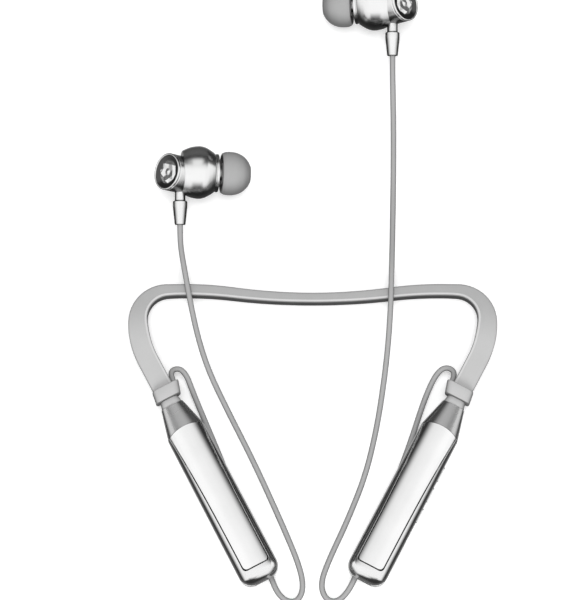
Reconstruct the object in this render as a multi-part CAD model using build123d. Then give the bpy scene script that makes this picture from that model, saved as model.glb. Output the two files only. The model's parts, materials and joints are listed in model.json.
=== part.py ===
"""Neckband earphones lying on a table, with their two earbud cables laid over the band.

Millimetres, +Z up, the table at z = 0.  The band's symmetry plane is x = 0, its nape is
towards +Y and the two metal housings point towards -Y.  The origin is under the middle of
the object's own box.  "Right" is +X.  Right-hand pieces are drawn first and mirrored.
"""

import os
from math import atan2, copysign, cos, degrees, pi, radians, sin, tan

from build123d import *

os.makedirs("parts", exist_ok=True)

# ---- driving dimensions ----------------------------------------------------------------
# band
nape_y = -6.3                    # where the middle of the nape lies
band_arcs = [(213.0, 7.3), (131.0, -10.0), (10.5, -88.7), (31.2, -26.3)]   # radius, turn
straight_to_shoulder = 28.6      # straight run from the last arc to the housing's shoulder
strap_edge_radius = 0.8
nape_width = 3.45
side_gain, arm_gain = 0.55, 3.2  # width gained along the nape and round the bend
nape_height, arm_height = 6.4, 3.6
gain_end = 45.0                  # distances along the band where its section changes
widen_start, widen_end = 46.0, 74.0
flatten_start, flatten_end = 46.0, 90.0
band_gap = 0.3                   # between the two halves of the sleeve at the nape
section_spacing = 2.6
liner_depth = 0.5
liner_share = 0.55               # of the strap's height
spring_thickness, spring_height, spring_across = 0.5, 2.2, 0.75
link_diameter, link_across = 1.1, -0.25

# housing, along its own axis: 0 at the shoulder, positive towards the tip
collar_top, collar_base, ferrule_base = -17.65, -13.15, -10.5
strap_seat = -15.5
tip_end = 57.0
housing_height = 11.6            # before its underside is cut flat at the table
mid_height = 5.75
neck_width, neck_height = 8.2, 6.6
shoulder_width, tip_width = 13.7, 14.1
corner_radius = 4.6
tip_round = 4.0
wall = 1.2
plate_depth = 0.8
plate_gap = 0.12
plate_end = 52.0
plate_top_half, plate_end_half = 5.9, 4.8
plate_corner = 1.5
shoulder_bow = 1.8               # how far the plate's curved top edge reaches up the cone
cavity_floor, cavity_roof = 3.7, 10.2
pocket_floor, pocket_side = 1.5, -1.2
wire_hole = 2.6

# cable
cable_diameter = 1.9
cable_lane = (14.0, -6.3), (56.6, -2.75)  # the groove's line under a housing: along, across
groove_width, groove_height = 2.9, 2.6
cable_exit_across, cable_exit_height = -4.4, 4.0
collar_lead, boot_lead = 2.6, 5.0         # straight lengths at the cable's two ends

# buttons and charging port, in the right housing's outer flank
button_places = {"button_volume_up": 12.0, "button_play": 20.0, "button_volume_down": 28.0}
button_length, button_height, button_middle = 5.4, 2.2, 2.9
button_clearance = 0.3
button_proud = 0.35
button_root = 4.0                # inner end of a button, across
flap_middle, flap_length = 42.5, 11.4
flap_low, flap_high = 1.5, 5.0
flap_depth = 0.8
flap_clearance = 0.3
socket_length, socket_height, socket_depth = 8.9, 3.2, 5.3
socket_front = 4.8               # across, behind the flap

# earbud, from the middle of its barrel
bud_height = 9.2
bud_tilt = 8.5
bud_places = {"right": (21.5, 103.4), "left": (-39.2, 43.0)}   # y from the nape
barrel_profile = [(-6.0, 7.3), (-4.4, 8.1), (-2.6, 8.75), (0.0, 9.1), (2.0, 8.7),
                  (3.6, 7.9), (4.8, 7.1), (5.4, 6.6)]
barrel_wall = 1.0
collar_ring = (5.4, 6.6, 6.6)            # from, to, radius
stem_end, stem_radius, stem_bore = 13.0, 2.4, 1.7
tip_bore = 2.7
cap_radius, cap_length = 6.4, 8.6
cap_face = (-11.0, -1.0, 5.6)            # middle of the cap's outer face
cap_angle = 44.0                         # of the cap's axis above the table
bezel_width, bezel_depth = 0.7, 0.9
boot_across = -6.4
boot_drop = 8.0
stub_radius, stub_length = 1.85, 3.2
boot_radius, boot_tip_radius, boot_length = 2.5, 1.85, 8.3
boot_start = 5.9                 # from the cap's axis to the stub's root

# cable routes: y is from the nape, z from the table; the first two points are set by the
# collar and the last two by the boot
left_route = [(-48.2, -24.7, 4.0), (-45.3, -24.0, 3.7), (-43.0, -26.6, 3.0),
              (-41.6, -31.2, 2.0), (-38.9, -37.8, 1.2), (-34.3, -48.6, 1.0),
              (-29.9, -59.3, 1.0), (-23.6, -74.6, 1.0), (-18.9, -85.7, 1.0),
              (-15.8, -92.6, 1.0), (-13.9, -97.2, 1.0), (-12.0, -101.6, 1.0),
              (-9.0, -104.4, 1.0), (-5.6, -104.5, 1.0), (-3.6, -101.6, 1.0),
              (-3.5, -97.2, 1.0), (-4.8, -92.3, 1.0), (-6.7, -87.1, 1.0),
              (-11.0, -77.0, 1.0), (-19.7, -57.6, 1.0), (-30.0, -37.2, 1.0),
              (-35.8, -25.0, 1.8), (-39.2, -14.6, 4.8), (-41.6, -4.2, 7.8),
              (-43.7, 7.4, 7.8), (-45.0, 14.6, 7.6)]
right_route = [(48.0, -24.6, 4.0), (45.0, -23.4, 3.7), (42.3, -25.6, 3.0),
               (40.2, -30.6, 2.0), (37.4, -37.6, 1.2), (33.9, -48.4, 1.0),
               (29.9, -59.3, 1.0), (23.6, -74.6, 1.0), (18.9, -85.7, 1.0),
               (15.8, -92.6, 1.0), (13.9, -97.2, 1.0), (11.6, -101.4, 1.0),
               (8.5, -104.4, 1.0), (5.2, -104.3, 1.0), (3.0, -101.2, 1.0),
               (3.0, -97.0, 1.0), (4.7, -92.3, 1.0), (6.9, -87.2, 1.0),
               (11.6, -77.2, 1.0), (18.0, -61.4, 1.0), (22.0, -44.6, 1.0),
               (24.5, -28.6, 1.4), (25.8, -17.2, 4.2), (26.6, -6.0, 7.8),
               (27.1, 7.0, 7.8), (27.5, 18.6, 4.6), (27.9, 31.6, 1.6),
               (28.2, 46.0, 1.0), (28.3, 59.6, 1.6), (28.1, 71.0, 4.6)]


# ---- helpers ---------------------------------------------------------------------------
def export(shape, node):
    """Write one sub-part."""
    shape.label = node
    export_step(shape, f"parts/{node}.step")


def export_sides(shape, node):
    """Write a right-hand piece and its mirror image."""
    export(shape, f"{node}_right")
    export(mirror(shape, about=Plane.YZ), f"{node}_left")


def smooth(value, start, end):
    """0 before start, 1 after end, with a smooth change between them."""
    share = min(max((value - start) / (end - start), 0.0), 1.0)
    return share * share * (3 - 2 * share)


def prism(x_range, y_range, z_range):
    """A box given by its faces."""
    size = [high - low for low, high in (x_range, y_range, z_range)]
    middle = [(high + low) / 2 for low, high in (x_range, y_range, z_range)]
    return Pos(*middle) * Box(*size)


def rod(start, direction, length, radius):
    """A round rod from a point along a direction."""
    return Plane(origin=start, z_dir=direction).location * Cylinder(
        radius, length, align=(Align.CENTER, Align.CENTER, Align.MIN))


# ---- band ------------------------------------------------------------------------------
def band_point(distance):
    """Plan position and heading on the right half's centre line, from the nape."""
    x, y, heading = 0.0, nape_y - 0.4, 0.0
    for radius, turn in band_arcs:
        step = min(distance, radius * radians(abs(turn)))
        side = copysign(radius, turn)
        turned = heading + step / side
        x += side * (sin(turned) - sin(heading))
        y -= side * (cos(turned) - cos(heading))
        heading = turned
        distance -= step
    return x + distance * cos(heading), y + distance * sin(heading), heading


shoulder_distance = (sum(radius * radians(abs(turn)) for radius, turn in band_arcs)
                     + straight_to_shoulder)
band_end = shoulder_distance + strap_seat
shoulder_x, shoulder_y, housing_heading = band_point(shoulder_distance)
housing = Plane(origin=(shoulder_x, shoulder_y, 0), z_dir=(0, 0, 1),
                x_dir=(cos(housing_heading), sin(housing_heading), 0))


def strap_size(distance):
    """Width, height and middle height of the strap, upright at the nape, flat at the arms."""
    width = (nape_width + side_gain * smooth(distance, 0, gain_end)
             + arm_gain * smooth(distance, widen_start, widen_end))
    flat = smooth(distance, flatten_start, flatten_end)
    height = nape_height + flat * (arm_height - nape_height)
    middle = nape_height / 2 + flat * (mid_height - nape_height / 2)
    return width, height, middle


def band_plane(distance):
    """Section plane: local x away from the neck, local y up."""
    x, y, heading = band_point(distance)
    return Plane(origin=(x, y, strap_size(distance)[2]),
                 x_dir=(-sin(heading), cos(heading), 0), z_dir=(cos(heading), sin(heading), 0))


def band_loft(section):
    """Carry a section, given for the strap's width and height, from nape to collar."""
    count = round(band_end / section_spacing)
    start = band_gap / 2
    distances = [start + (band_end - start) * index / count for index in range(count + 1)]
    return loft([band_plane(distance) * section(*strap_size(distance)[:2])
                 for distance in distances], ruled=True)


def liner_section(width, height):
    """The strip let into the wall that faces the neck."""
    return Pos((liner_depth - width) / 2, 0) * Rectangle(liner_depth, liner_share * height)


def sleeve_section(width, height):
    """The sleeve's outline with the liner's recess."""
    return RectangleRounded(width, height, strap_edge_radius) - liner_section(width, height)


def spring_section(width, height):
    """The flat spring, upright in the sleeve."""
    return Pos(spring_across, 0) * Rectangle(spring_thickness, spring_height)


def link_section(width, height):
    """The link cable, beside the spring."""
    return Pos(link_across, 0) * Circle(link_diameter / 2)


def make_band():
    """Sleeve, skin-side liner, flat spring and link cable of one half."""
    spring = band_loft(spring_section)
    link = band_loft(link_section)
    export_sides(band_loft(sleeve_section) - spring - link, "band_sleeve")
    export_sides(band_loft(liner_section), "band_liner")
    export_sides(spring, "band_spring")
    export_sides(link, "band_link_cable")


# ---- housings --------------------------------------------------------------------------
def housing_section(along, width, height, radius, middle=mid_height, across=0.0):
    """A rounded rectangle square to the housing's axis."""
    plane = Plane(origin=(along, across, middle), x_dir=(0, 1, 0), z_dir=(1, 0, 0))
    return plane * RectangleRounded(width, height, radius)


def housing_body(inset=0.0):
    """Cone and bar as one solid, or the same form drawn in by an inset."""
    sections = []
    for along, width, height, radius in (
            (ferrule_base, neck_width, neck_height, 3.1),
            (0.0, shoulder_width, housing_height, corner_radius)):
        sections.append(housing_section(along, width - 2 * inset, height - 2 * inset,
                                        radius - inset))
    for angle in (0, 20, 40, 60, 80):
        draw = inset + tip_round * (1 - cos(radians(angle)))
        along = tip_end - tip_round + (tip_round - inset) * sin(radians(angle))
        sections.append(housing_section(along, tip_width - 2 * draw,
                                        housing_height - 2 * draw,
                                        max(corner_radius - draw, 1.0)))
    return loft(sections, ruled=True)


def bar_region(margin=0.0):
    """Everything on the tip's side of the curved shoulder line."""
    reach = shoulder_width / 2
    bow_radius = (reach ** 2 + shoulder_bow ** 2) / (2 * shoulder_bow)
    centre = bow_radius - shoulder_bow
    disc = Pos(centre, 0, mid_height) * Cylinder(bow_radius - margin, 30)
    return disc + prism((centre, 90), (-20, 20), (mid_height - 15, mid_height + 15))


def plate_prism(gap):
    """The inlay plate's outline in plan, as a tall prism drawn in by a gap."""
    def half(along):
        share = along / plate_end
        return plate_top_half + share * (plate_end_half - plate_top_half) - gap
    low, high = -4.0, plate_end - gap
    outline = Polygon((low, -half(low)), (high, -half(high)), (high, half(high)),
                      (low, half(low)), align=None)
    outline = fillet(outline.vertices().group_by(Axis.X)[-1], plate_corner)
    return Pos(0, 0, mid_height + 2) * extrude(outline, 20) & bar_region(gap)


def make_cavity():
    """The hollow inside a bar, with a deeper pocket on the outboard side."""
    inner = housing_body(wall)
    main = prism((3.5, tip_end - 4.5), (-9, 9), (cavity_floor, cavity_roof))
    pocket = prism((8.0, 49.0), (pocket_side, 9), (pocket_floor, cavity_floor + 1))
    return inner & (main + pocket)


def make_groove():
    """The open channel under a bar that lets the cable pass beneath it."""
    (along_a, across_a), (along_b, across_b) = cable_lane
    angle = degrees(atan2(across_b - across_a, along_b - along_a))
    length = 90
    channel = Pos(0, 0, (groove_height - 1) / 2) * Box(length, groove_width,
                                                       groove_height + 1)
    middle = (along_a + along_b) / 2, (across_a + across_b) / 2
    return Pos(middle[0], middle[1], 0) * Rot(0, 0, angle) * channel


def make_collar():
    """The moulded collar that holds the strap's end and lets the cable out beside it."""
    top = housing_section(collar_top, 10.0, 7.6, 2.2, across=-1.0)
    base = housing_section(collar_base, 9.3, 8.2, 2.6)
    body = loft([top, base], ruled=True)
    strap_width, strap_height, _ = strap_size(band_end)
    seat = loft([housing_section(along, strap_width, strap_height, strap_edge_radius)
                 for along in (collar_top - 1, strap_seat)], ruled=True)
    hole = rod((strap_seat - 1, 0, mid_height), (1, 0, 0), 10, wire_hole / 2)
    return body - seat - hole


def make_ferrule():
    """The short neck between collar and cone."""
    body = loft([housing_section(collar_base, 7.4, 5.8, 2.4),
                 housing_section(ferrule_base, 7.4, 5.8, 2.4)], ruled=True)
    return body - rod((collar_base - 1, 0, mid_height), (1, 0, 0), 10, wire_hole / 2)


def flank_tool(along, length, low, high, depth):
    """A rounded bar that enters the outer flank to a depth measured across."""
    block = prism((along - length / 2, along + length / 2), (depth, 12), (low, high))
    return fillet(block.edges().filter_by(Axis.Y), (high - low) * 0.3)


def make_buttons():
    """Volume and play buttons, each with the hole that it slides in."""
    proud = housing_body(-button_proud)
    buttons, holes = {}, []
    for node, along in button_places.items():
        low, high = button_middle - button_height / 2, button_middle + button_height / 2
        cap = flank_tool(along, button_length, low, high, button_root)
        buttons[node] = cap & proud
        holes.append(flank_tool(along, button_length + 2 * button_clearance,
                                low - button_clearance, high + button_clearance,
                                button_root - 0.4))
    return buttons, holes


def make_flap(body):
    """The flap over the charging socket, and the recess and opening it closes."""
    shell_skin = housing_body(flap_depth)
    flap = (flank_tool(flap_middle, flap_length, flap_low, flap_high, 0) & body) - shell_skin
    recess = flank_tool(flap_middle, flap_length + 2 * flap_clearance,
                        flap_low - flap_clearance, flap_high + flap_clearance, 0)
    recess = recess - housing_body(flap_depth + 0.1)
    middle = (flap_low + flap_high) / 2
    opening = prism((flap_middle - socket_length / 2 - 0.1,
                     flap_middle + socket_length / 2 + 0.1), (3.0, 12),
                    (middle - socket_height / 2 - 0.1, middle + socket_height / 2 + 0.1))
    return flap, recess, opening


def make_socket():
    """USB-C receptacle: a rounded metal shell with its tongue."""
    middle = (flap_low + flap_high) / 2
    front = socket_front
    shell = prism((flap_middle - socket_length / 2, flap_middle + socket_length / 2),
                  (front - socket_depth, front),
                  (middle - socket_height / 2, middle + socket_height / 2))
    shell = fillet(shell.edges().filter_by(Axis.Y), 1.4)
    mouth = prism((flap_middle - socket_length / 2 + 0.3,
                   flap_middle + socket_length / 2 - 0.3),
                  (front - socket_depth + 1.2, front + 1),
                  (middle - socket_height / 2 + 0.3, middle + socket_height / 2 - 0.3))
    mouth = fillet(mouth.edges().filter_by(Axis.Y), 1.1)
    tongue = prism((flap_middle - 3.3, flap_middle + 3.3),
                   (front - socket_depth + 0.6, front - 0.8), (middle - 0.35, middle + 0.35))
    return shell - mouth + tongue


def make_right_internals():
    """Board, wireless module, switches, light pipe and microphone of the control side."""
    board_base = 5.6
    board = prism((5.0, 49.0), (-4.4, 4.4), (board_base, board_base + 0.8))
    module = prism((7.0, 19.0), (-4.0, 2.6), (board_base + 0.85, board_base + 2.9))
    switches = Compound(children=[
        prism((along - 1.8, along + 1.8), (2.0, button_root - 0.35), (2.0, 3.8))
        for along in button_places.values()])
    light_pipe = rod((34.0, 1.6, pocket_floor - 1.4), (0, 0, 1), 5.3, 0.75)
    microphone = prism((29.5, 33.0), (-3.6, -0.9), (board_base + 0.85, board_base + 1.9))
    return {"main_board": board, "bluetooth_module": module, "button_switches": switches,
            "light_pipe": light_pipe, "microphone": microphone}


def make_left_internals():
    """Battery, its foam pad and its protection board, drawn on the right and mirrored."""
    battery = prism((10.0, 46.0), (-4.2, 4.2), (4.4, 8.8))
    battery = fillet(battery.edges().filter_by(Axis.X), 1.6)
    pad = prism((12.0, 44.0), (-3.2, 3.2), (3.75, 4.35))
    board = prism((4.6, 9.4), (-3.8, 3.8), (5.2, 6.0))
    return {"battery": battery, "battery_pad": pad, "protection_board": board}


def make_housings():
    """All pieces of both housings."""
    body = housing_body() & prism((-20, 90), (-20, 20), (0, 40))
    bar = body & bar_region()
    cone = (body - bar_region()) - rod((ferrule_base - 1, 0, mid_height), (1, 0, 0), 14,
                                       wire_hole / 2)
    cavity = make_cavity()
    upper_half = prism((-20, 90), (-20, 20), (mid_height, 40))
    skin = housing_body(plate_depth)
    hollow = bar - cavity
    upper = (hollow & upper_half) - (plate_prism(0.0) - skin)
    plate = (plate_prism(plate_gap) & body) - housing_body(plate_depth - 0.02)
    lower = (hollow - upper_half) - make_groove()
    buttons, holes = make_buttons()
    flap, recess, opening = make_flap(body)
    light_pipe = make_right_internals()["light_pipe"]
    lower_right = lower - recess - opening - light_pipe
    for hole in holes:
        lower_right = lower_right - hole

    place = housing.location
    export_sides(place * make_collar(), "strap_collar")
    export_sides(place * make_ferrule(), "neck_ferrule")
    export_sides(place * cone, "housing_cone")
    export_sides(place * upper, "upper_shell")
    export_sides(place * plate, "inlay_plate")
    export(place * lower_right, "lower_shell_right")
    export(mirror(place * lower, about=Plane.YZ), "lower_shell_left")
    export(place * flap, "port_flap")
    export(place * make_socket(), "usb_c_socket")
    for node, shape in {**buttons, **make_right_internals()}.items():
        export(place * shape, node)
    for node, shape in make_left_internals().items():
        export(mirror(place * shape, about=Plane.YZ), node)


# ---- earbuds ---------------------------------------------------------------------------
def turned(points):
    """Revolve a closed outline of (along, radius) points about the X axis."""
    return revolve(make_face(Polyline(*points, close=True)), Axis.X)


def turned_curve(curve, closing):
    """Revolve a smooth outer curve closed by straight lines about the X axis."""
    edge = Spline(*curve)
    line = Polyline(curve[-1], *closing, curve[0])
    return revolve(make_face(Curve() + [edge, line]), Axis.X)


def make_bud():
    """The pieces of one earbud with its ear tip towards +X, from the barrel's middle."""
    tilt = Rot(0, bud_tilt, 0)
    ring_start, ring_end, ring_radius = collar_ring
    back, front = barrel_profile[0][0], barrel_profile[-1][0]
    outer = turned_curve(barrel_profile, [(front, 0), (back, 0)])
    inner_profile = [(along, radius - barrel_wall) for along, radius in barrel_profile[:-2]]
    cavity = turned_curve(inner_profile, [(inner_profile[-1][0], 0),
                                          (inner_profile[0][0], 0)])
    ring = turned([(ring_start - 0.5, 0), (ring_end, 0), (ring_end, ring_radius),
                   (ring_start - 0.5, ring_radius)])
    stem = turned([(ring_end - 0.5, 0), (stem_end, 0), (stem_end, stem_radius),
                   (ring_end - 0.5, stem_radius)])
    bore = turned([(3.0, 0), (stem_end + 1, 0), (stem_end + 1, stem_bore), (3.0, stem_bore)])
    front_shell = tilt * (outer + ring + stem - cavity - bore)
    mesh = turned([(stem_end, 0), (stem_end + 0.25, 0), (stem_end + 0.25, stem_radius),
                   (stem_end, stem_radius)])
    dome = [(7.9, 6.9), (9.4, 7.45), (12.4, 7.35), (15.0, 6.3), (16.8, 4.6), (17.6, 3.2)]
    lining = [(14.6, 3.6), (14.6, 5.1), (12.4, 6.3), (9.6, 6.6), (7.9, 6.3)]
    tip = turned_curve(dome, [(17.6, tip_bore), (7.9, tip_bore), (7.9, 3.6)] + lining)

    basket = turned([(-2.4, 0), (-1.6, 0), (-1.6, 6.2), (1.4, 6.2), (1.4, 6.8),
                     (-2.4, 6.8)])
    driver_magnet = turned([(-1.55, 0), (0.2, 0), (0.2, 4.6), (-1.55, 4.6)])
    diaphragm = turned([(1.45, 0), (1.6, 0), (1.6, 6.6), (1.45, 6.6)])

    axis = Vector(-cos(radians(cap_angle)), 0, sin(radians(cap_angle)))
    face = Vector(*cap_face)
    cap = rod(face - axis * cap_length, axis, cap_length, cap_radius)
    cap = cap - tilt * turned_curve(barrel_profile, [(front, 0), (back, 0)])
    seat = rod(face - axis * bezel_depth, axis, 2, cap_radius + 1)
    chamber = rod(face - axis * 5.2, axis, 6, cap_radius - 1.1)
    boot_plane = boot_frame()
    stub = boot_plane.location * Cylinder(stub_radius, 6, align=(
        Align.CENTER, Align.CENTER, Align.MIN))
    rear_shell = cap - seat - chamber - stub
    front_shell = front_shell - stub
    bezel = (rod(face - axis * bezel_depth, axis, bezel_depth, cap_radius)
             - rod(face - axis * 3, axis, 6, cap_radius - bezel_width))
    disc = rod(face - axis * bezel_depth, axis, bezel_depth - 0.15,
               cap_radius - bezel_width - 0.02)
    magnet = rod(face - axis * 2.8, axis, 1.9, 3.4)

    boot_profile = [(0, 0), (stub_radius, 0), (stub_radius, stub_length),
                    (boot_radius, stub_length + 0.15), (boot_radius, stub_length + 2.2),
                    (boot_tip_radius, stub_length + boot_length),
                    (0, stub_length + boot_length)]
    boot = revolve(make_face(Plane.XZ * Polyline(*boot_profile, close=True)), Axis.Z)
    return {"front_shell": front_shell, "nozzle_mesh": tilt * mesh,
            "ear_tip": tilt * tip, "driver_basket": tilt * basket,
            "driver_magnet": tilt * driver_magnet, "driver_diaphragm": tilt * diaphragm,
            "rear_shell": rear_shell, "bezel_ring": bezel, "ornament_disc": disc,
            "holding_magnet": magnet, "cable_boot": boot_plane.location * boot}


def boot_frame():
    """The boot's plane in a bud: origin at the stub's root, +Z towards the cable."""
    axis_height = cap_face[2] + (cap_face[0] - boot_across) * tan(radians(cap_angle))
    direction = (0, -cos(radians(boot_drop)), -sin(radians(boot_drop)))
    root = (boot_across, cap_face[1] + boot_start * direction[1],
            axis_height + boot_start * direction[2])
    return Plane(origin=root, x_dir=(1, 0, 0), z_dir=direction)


def boot_point(side, beyond=0.0):
    """The middle of the boot's end, or a point that far beyond it along the boot."""
    plane = boot_frame()
    point = plane.origin + plane.z_dir * (stub_length + boot_length + beyond)
    x, y = bud_places[side]
    sign = -1 if side == "right" else 1
    return Vector(x + sign * point.X, y + nape_y + point.Y, bud_height + point.Z)


def make_earbuds():
    """Both earbuds: the left one points to +X, the right one is its mirror image."""
    pieces = make_bud()
    for side, (x, y) in bud_places.items():
        for name, shape in pieces.items():
            own = mirror(shape, about=Plane.YZ) if side == "right" else shape
            export(Pos(x, y + nape_y, bud_height) * own, f"{name}_{side}")


# ---- cables ----------------------------------------------------------------------------
def make_cable(side, route):
    """One earbud cable, from its collar round under the housing and up to its boot."""
    sign = -1 if side == "left" else 1
    exits = [housing.from_local_coords(Vector(along, cable_exit_across, cable_exit_height))
             for along in (collar_top, collar_top - collar_lead)]
    points = ([Vector(sign * point.X, point.Y, point.Z) for point in exits]
              + [Vector(x, y + nape_y, z) for x, y, z in route]
              + [boot_point(side, boot_lead), boot_point(side)])
    print(f"cable_{side}: from", [round(value, 2) for point in points[:2] for value in point],
          "to", [round(value, 2) for point in points[-2:] for value in point])
    start = points[0]
    runs = [b - a for a, b in zip(points, points[1:])]
    turns = [a.get_angle(b) for a, b in zip(runs, runs[1:])]
    radii = [0.45 * min(a.length, b.length) / tan(radians(turn) / 2)
             for a, b, turn in zip(runs, runs[1:], turns)]
    path = FilletPolyline(*points, radius=radii)
    tube = sweep(Plane(origin=start, z_dir=runs[0]) * Circle(cable_diameter / 2), path=path)
    print(f"cable_{side}: length {path.length:.1f}, volume / (section x length)",
          f"{tube.volume / (pi * cable_diameter ** 2 / 4 * path.length):.4f}")
    for index, (turn, radius) in enumerate(zip(turns, radii), 1):
        ratio = max(runs[index - 1].length, runs[index].length) / min(
            runs[index - 1].length, runs[index].length)
        print(f"  {index}: run {runs[index - 1].length:.1f} turn {turn:.1f}",
              f"radius {radius:.1f} ratio {ratio:.1f}")
    export(tube, f"cable_{side}")


make_band()
make_housings()
make_earbuds()
make_cable("left", left_route)
make_cable("right", right_route)
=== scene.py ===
"""Neckband earphones lying on a pale table, seen from above.

Lengths are written in millimetres and turned into metres where a mesh is made. +Z is up and
the table is at z = 0. The nape of the band is towards +Y and the metal housings point
towards -Y. "Right" is +X. The band and the right housing are drawn on that side and
mirrored; the left earbud is the one drawn as it lies, and the right one faces it.
"""

import json
from math import copysign, cos, hypot, pi, radians, sin, sqrt, tan

import bmesh
import bpy
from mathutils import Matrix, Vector


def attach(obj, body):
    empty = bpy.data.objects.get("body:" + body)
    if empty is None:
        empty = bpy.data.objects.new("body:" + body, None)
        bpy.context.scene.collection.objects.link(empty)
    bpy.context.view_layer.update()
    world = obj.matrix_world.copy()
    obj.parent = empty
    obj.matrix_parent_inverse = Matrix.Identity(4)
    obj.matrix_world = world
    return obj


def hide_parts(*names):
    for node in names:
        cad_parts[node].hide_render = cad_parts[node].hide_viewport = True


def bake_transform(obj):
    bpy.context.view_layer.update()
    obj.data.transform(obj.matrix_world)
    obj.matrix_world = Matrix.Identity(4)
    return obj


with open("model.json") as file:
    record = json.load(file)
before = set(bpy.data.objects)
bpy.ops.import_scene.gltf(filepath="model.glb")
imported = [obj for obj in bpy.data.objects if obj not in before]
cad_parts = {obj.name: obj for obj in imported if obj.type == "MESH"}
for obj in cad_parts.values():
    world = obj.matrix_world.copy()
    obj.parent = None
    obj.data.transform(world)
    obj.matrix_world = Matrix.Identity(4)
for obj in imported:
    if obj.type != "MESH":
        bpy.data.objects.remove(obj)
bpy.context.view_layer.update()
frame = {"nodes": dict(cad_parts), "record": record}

METRES = 0.001

# ---- driving dimensions ----------------------------------------------------------------
# camera
camera_target = (-8.8, -6.3, 0.0)
camera_elevation = 78.0
camera_distance = 1150.0
camera_lens = 200.0

# light: powers in watts, places and sizes in metres
floor_glow = 0.35
ambient_level = 0.55
horizon_tilt = 86.0, 94.0
lamps = {"overhead_lamp": ((0.0, 0.15, 1.3), 0.9, 9.0),
         "front_lamp": ((0.0, -1.1, 0.75), 0.7, 9.0)}

# what metal mirrors: soft boxes on a map of the sky. Its two coordinates, to the side and
# ahead (towards +Y), are degrees from straight up, and each pair is the start and end of
# one soft edge. The top box fades towards +Y, where the bars' inner flanks mirror it.
reflection_floor = 0.035
top_box_near, top_box_far = (-86.0, -48.0), (36.0, 60.0)
top_box_side = 46.0, 52.0
inward_ahead, inward_slope = 12.0, 0.525               # where the fading starts
inward_fades = (-14.0, 8.0, 0.8), (4.0, 25.0, 0.08)    # from, to, and the level left
side_box_turn = 17.0             # degrees from the X axis towards -Y
side_box_near, side_box_far = (-76.0, -56.0), (48.0, 58.0)
side_box_inner, side_box_outer = (40.0, 46.0), (72.0, 112.0)
side_box_level = 0.95
far_box_ahead, far_box_side = (58.0, 80.0), (44.0, 58.0)
far_box_level = 0.06
table_tilt, table_ahead = (122.0, 150.0), (-30.0, 60.0)
table_levels = 0.1, 0.42         # towards the viewer and away

# band: radius and turn of each arc of the right half, from the nape
nape_y = -6.3
centre_line_drop = 0.4           # from the nape's middle to the strap's centre line
band_arcs = [(213.0, 7.3), (131.0, -10.0), (10.5, -88.7), (31.2, -26.3)]
straight_to_shoulder = 28.6
strap_seat = -15.5               # where the strap ends in its collar, from the shoulder
strap_edge = 0.7
nape_width = 3.45
side_gain, arm_gain = 0.55, 3.2  # width gained along the nape and round the bend
nape_height, arm_height = 6.4, 3.6
gain_end = 45.0                  # distances along the band where its section changes
widen_start, widen_end = 46.0, 74.0
flatten_start, flatten_end = 46.0, 90.0
# a thin lighter strip along the strap's inner upper edge, a painted highlight of that edge
highlight_strip_width, highlight_strip_height, highlight_strip_edge = 0.75, 0.36, 0.16
highlight_strip_inset, highlight_strip_rise = 0.25, 0.1
# the liner's dark colour is painted shade of the strap's neck-facing wall
liner_depth, liner_edge, liner_margin = 0.5, 0.2, 0.85
liner_back_gap, liner_side_gap = 0.04, 0.05
spring_thickness, spring_height, spring_edge = 0.5, 2.2, 0.15
spring_across = 0.75
link_diameter, link_across = 1.1, -0.25
ring_spacing = 1.3
arms_fade = (-7.0, -24.0)        # where the band catches more light, from and to, along Y

# housing, along its own axis: 0 at the shoulder, positive towards the tip
collar_top, collar_base, ferrule_base = -17.65, -13.15, -10.5
# width, height, corner radius and place across, at each end
collar_ends = (10.0, 7.6, 2.2, -1.0), (9.3, 8.2, 2.6, 0.0)
ferrule_ends = (6.5, 5.1, 2.2, 0.0), (7.6, 6.0, 2.5, 0.0)
collar_edge, ferrule_edge, cone_edge = 0.45, 0.3, 0.35
cone_gap = 0.06
bar_end, tip_round = 57.0, 4.5
tip_last_angle = 80.0            # how far round the tip's corners go before its flat end
mid_height = 5.75
neck_half_width, neck_half_height = 4.1, 3.3
shoulder_half_width, tip_half_width = 6.85, 7.05
shoulder_bow = 1.8               # of the curved line between cone and bar
nose_start = 53.0
nose_power = 2.4
section_power = 2.7              # of the superellipse that is the bar's section
plate_top_half, plate_end_half = 6.3, 4.95
plate_end, plate_corner = 52.0, 1.5
plate_gap, plate_thickness, plate_rounding = 0.36, 0.6, 0.14
shell_thickness, shell_rounding = 0.9, 0.1

# earbud, from the middle of its barrel, with its ear tip towards +X
bud_height = 9.2
bud_tilt = 8.5
bud_places = {"right": (21.5, 103.4), "left": (-39.2, 43.0)}
barrel_profile = [(-6.0, 7.3), (-4.4, 8.1), (-2.6, 8.75), (0.0, 9.1), (2.0, 8.7),
                  (3.6, 7.9), (4.8, 7.1), (5.4, 6.6)]
barrel_back_radius, barrel_edge = 5.5, 0.7
groove_radius = 6.25
ring_start, ring_end, ring_radius = 5.75, 6.6, 6.6
ring_edge = 0.25
stem_end, stem_radius, stem_bore = 13.0, 2.4, 1.7
tip_start, tip_bore, tip_core = 7.9, 2.7, 3.6
tip_dome = [(tip_start, 6.9), (9.4, 7.45), (12.4, 7.35), (15.0, 6.3), (16.8, 4.6), (17.6, 3.2)]
tip_lip = [(17.75, 2.95), (17.6, tip_bore)]
tip_lining = [(14.6, tip_core), (14.6, 5.1), (12.4, 6.3), (9.6, 6.6), (7.75, 6.5)]
cap_radius, cap_length, cap_neck = 6.4, 8.6, 5.3
cap_face = (-11.0, -1.0, 5.6)
cap_angle = 44.0
cap_edge, cap_seam = 0.3, 0.08
bezel_width, bezel_depth, bezel_edge = 0.7, 0.9, 0.28
disc_rim, disc_floor = 0.32, 0.72    # how deep the ornament lies under the bezel's face
facet_radius, facet_count = 4.15, 10
boot_across, boot_drop, boot_start = -6.4, 8.0, 5.9
stub_radius, stub_length = 1.85, 3.2
boot_radius, boot_tip_radius, boot_length = 2.5, 1.85, 8.3
boot_shoulder, boot_edge = 2.2, 0.35

# cables
cable_diameter = 1.9

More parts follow.
